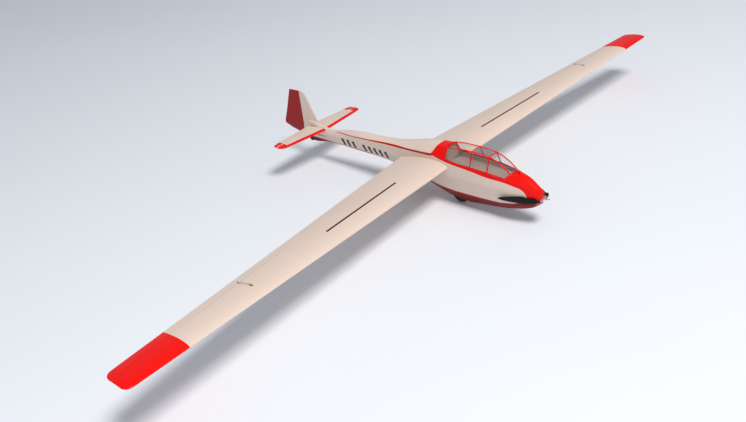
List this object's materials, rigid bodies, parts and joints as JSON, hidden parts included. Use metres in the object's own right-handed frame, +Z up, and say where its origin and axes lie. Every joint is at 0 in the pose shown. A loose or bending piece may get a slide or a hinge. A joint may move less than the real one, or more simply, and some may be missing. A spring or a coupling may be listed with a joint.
{
  "type": "rc glider",
  "caption": "Model sailplane with forward-swept shoulder wing, long framed canopy, folding nose propeller, single wheel and hinged control surfaces.",
  "frame": {"origin": "On the ground plane under the middle of the bounding box: X and Y are the middle of the length and span, Z = 0 is the bottom of the main wheel.", "axes": "+X towards the nose, +Y along the port wing (span), +Z up; the rest pose is level flight with folded propeller and closed canopy"},
  "size_m": [1.6326, 3.32, 0.371],
  "materials": {
    "cream_shell": "glossy cream gelcoat and film",
    "red_frame": "glossy red painted frame",
    "dark_red_film": "glossy dark red covering film",
    "clear_pane": "clear thermoformed glazing, slightly reflective",
    "grey_liner": "matt grey-brown moulded tub",
    "tyre": "matt black rubber",
    "black_plastic": "matt black moulding",
    "blade_plastic": "satin black glass-filled moulding",
    "battery_wrap": "plain shrink wrap",
    "machined_alloy": "machined and satin",
    "brass_nut": "turned, bright",
    "steel": "drawn, bright",
    "plywood": "plain sanded plywood"
  },
  "bodies": {
    "airframe": {"fuselage_shell": "cream_shell", "formers": "plywood", "cockpit_liner": "grey_liner", "equipment_tray": "plywood", "battery": "battery_wrap", "speed_controller": "black_plastic", "receiver": "black_plastic", "tail_servos": "black_plastic", "motor_case": "machined_alloy", "motor_ring": "plywood", "motor_screws": "steel", "wing_joiner": "steel", "locating_pins": "steel", "port_wing_skin": "cream_shell", "starboard_wing_skin": "cream_shell", "wing_ribs": "plywood", "wing_spars": "plywood", "joiner_tubes": "machined_alloy", "airbrake_channels": "plywood", "aileron_servos": "black_plastic", "fin": "cream_shell", "port_tailplane": "cream_shell", "starboard_tailplane": "cream_shell", "tailplane_joiner": "steel", "tail_skid": "black_plastic", "wheel_brackets": "plywood", "wheel_axle": "steel", "canopy_hinge": "red_frame"},
    "port_aileron": {"port_aileron": "cream_shell", "port_aileron_horn": "black_plastic"},
    "starboard_aileron": {"starboard_aileron": "cream_shell", "starboard_aileron_horn": "black_plastic"},
    "port_aileron_servo_arm": {"port_aileron_servo_arm": "black_plastic"},
    "starboard_aileron_servo_arm": {"starboard_aileron_servo_arm": "black_plastic"},
    "port_aileron_rod": {"port_aileron_rod": "steel"},
    "starboard_aileron_rod": {"starboard_aileron_rod": "steel"},
    "port_airbrake": {"port_airbrake_cap": "dark_red_film", "port_airbrake_blade": "machined_alloy"},
    "starboard_airbrake": {"starboard_airbrake_cap": "dark_red_film", "starboard_airbrake_blade": "machined_alloy"},
    "rudder": {"rudder": "dark_red_film", "rudder_horn": "black_plastic"},
    "rudder_servo_arm": {"rudder_servo_arm": "black_plastic"},
    "rudder_rod": {"rudder_rod": "steel"},
    "elevator": {"port_elevator": "cream_shell", "starboard_elevator": "cream_shell", "elevator_joiner": "steel"},
    "elevator_servo_arm": {"elevator_servo_arm": "black_plastic"},
    "elevator_rod": {"elevator_rod": "steel"},
    "main_wheel": {"main_tyre": "tyre", "main_wheel_hub": "black_plastic"},
    "propeller": {"motor_shaft": "steel", "propeller_yoke": "machined_alloy", "propeller_nut": "brass_nut", "blade_pins": "steel"},
    "port_blade": {"port_blade": "blade_plastic"},
    "starboard_blade": {"starboard_blade": "blade_plastic"},
    "canopy": {"canopy_frame": "red_frame", "canopy_panes": "clear_pane"},
    "canopy_latch": {"canopy_latch": "black_plastic"}
  },
  "joints": [
    {"name": "port_aileron_hinge", "type": "hinge", "parent": "airframe", "child": "port_aileron", "pos_m": [0.27863, 1.14, 0.2409], "axis": [0.173, 0.9835, 0.0521], "range_deg": [-20, 20]},
    {"name": "starboard_aileron_hinge", "type": "hinge", "parent": "airframe", "child": "starboard_aileron", "pos_m": [0.27863, -1.14, 0.2409], "axis": [-0.173, 0.9835, -0.0521], "range_deg": [-20, 20]},
    {"name": "port_aileron_servo_turn", "type": "hinge", "parent": "airframe", "child": "port_aileron_servo_arm", "pos_m": [0.33932, 1.129, 0.24695], "axis": [0.173, 0.9835, 0.0521], "range_deg": [-20, 20]},
    {"name": "port_aileron_rod_pivot", "type": "hinge", "parent": "port_aileron_servo_arm", "child": "port_aileron_rod", "pos_m": [0.3392, 1.12831, 0.26044], "axis": [0.173, 0.9835, 0.0521], "range_deg": [-20, 20]},
    {"name": "starboard_aileron_servo_turn", "type": "hinge", "parent": "airframe", "child": "starboard_aileron_servo_arm", "pos_m": [0.33932, -1.129, 0.24695], "axis": [-0.173, 0.9835, -0.0521], "range_deg": [-20, 20]},
    {"name": "starboard_aileron_rod_pivot", "type": "hinge", "parent": "starboard_aileron_servo_arm", "child": "starboard_aileron_rod", "pos_m": [0.3392, -1.12831, 0.26044], "axis": [-0.173, 0.9835, -0.0521], "range_deg": [-20, 20]},
    {"name": "port_airbrake_rise", "type": "slide", "parent": "airframe", "child": "port_airbrake", "axis": [-0.0039, -0.0381, 0.9993], "range_m": [0, 0.014]},
    {"name": "starboard_airbrake_rise", "type": "slide", "parent": "airframe", "child": "starboard_airbrake", "axis": [-0.0039, 0.0381, 0.9993], "range_m": [0, 0.014]},
    {"name": "rudder_hinge", "type": "hinge", "parent": "airframe", "child": "rudder", "pos_m": [-0.66585, 0, 0.1265], "axis": [0.0352, 0, 0.9994], "range_deg": [-25, 25]},
    {"name": "rudder_servo_turn", "type": "hinge", "parent": "airframe", "child": "rudder_servo_arm", "pos_m": [0.14525, 0.014, 0.1605], "axis": [0.0352, 0, 0.9994], "range_deg": [-25, 25]},
    {"name": "rudder_rod_pivot", "type": "hinge", "parent": "rudder_servo_arm", "child": "rudder_rod", "pos_m": [0.14525, 0.001, 0.1605], "axis": [0.0352, 0, 0.9994], "range_deg": [-25, 25]},
    {"name": "elevator_hinge", "type": "hinge", "parent": "airframe", "child": "elevator", "pos_m": [-0.57275, 0, 0.1887], "axis": [0, 1, 0], "range_deg": [-18, 18]},
    {"name": "elevator_servo_turn", "type": "hinge", "parent": "airframe", "child": "elevator_servo_arm", "pos_m": [0.18025, 0, 0.1865], "axis": [0, 1, 0], "range_deg": [-18, 18]},
    {"name": "elevator_rod_pivot", "type": "hinge", "parent": "elevator_servo_arm", "child": "elevator_rod", "pos_m": [0.18025, 0, 0.1735], "axis": [0, 1, 0], "range_deg": [-18, 18]},
    {"name": "main_wheel_spin", "type": "hinge", "parent": "airframe", "child": "main_wheel", "pos_m": [0.34525, 0, 0.046], "axis": [0, 1, 0], "continuous": true},
    {"name": "propeller_turn", "type": "hinge", "parent": "airframe", "child": "propeller", "pos_m": [0.79125, 0, 0.1355], "axis": [1, 0, 0], "range_deg": [-8, 8]},
    {"name": "port_blade_fold", "type": "hinge", "parent": "propeller", "child": "port_blade", "pos_m": [0.79125, 0.02415, 0.14197], "axis": [0, 0.2588, -0.9659], "range_deg": [0, 77.3]},
    {"name": "starboard_blade_fold", "type": "hinge", "parent": "propeller", "child": "starboard_blade", "pos_m": [0.79125, -0.02415, 0.12903], "axis": [0, -0.2588, 0.9659], "range_deg": [0, 77.3]},
    {"name": "canopy_hinge", "type": "hinge", "parent": "airframe", "child": "canopy", "pos_m": [0.31785, 0, 0.2837], "axis": [0, -1, 0], "range_deg": [0, 65]},
    {"name": "canopy_latch_slide", "type": "slide", "parent": "airframe", "child": "canopy_latch", "axis": [0.9403, 0, -0.3404], "range_m": [0, 0.007], "stiffness_N_per_m": 150}
  ],
  "couplings": [
    {"joint": "starboard_aileron_hinge", "follows": "port_aileron_hinge", "ratio": -1},
    {"joint": "port_aileron_servo_turn", "follows": "port_aileron_hinge", "ratio": 1},
    {"joint": "port_aileron_rod_pivot", "follows": "port_aileron_hinge", "ratio": -1},
    {"joint": "starboard_aileron_servo_turn", "follows": "port_aileron_hinge", "ratio": -1},
    {"joint": "starboard_aileron_rod_pivot", "follows": "port_aileron_hinge", "ratio": 1},
    {"joint": "starboard_airbrake_rise", "follows": "port_airbrake_rise", "ratio": 1},
    {"joint": "rudder_servo_turn", "follows": "rudder_hinge", "ratio": 1},
    {"joint": "rudder_rod_pivot", "follows": "rudder_hinge", "ratio": -1},
    {"joint": "elevator_servo_turn", "follows": "elevator_hinge", "ratio": 1},
    {"joint": "elevator_rod_pivot", "follows": "elevator_hinge", "ratio": -1}
  ]
}
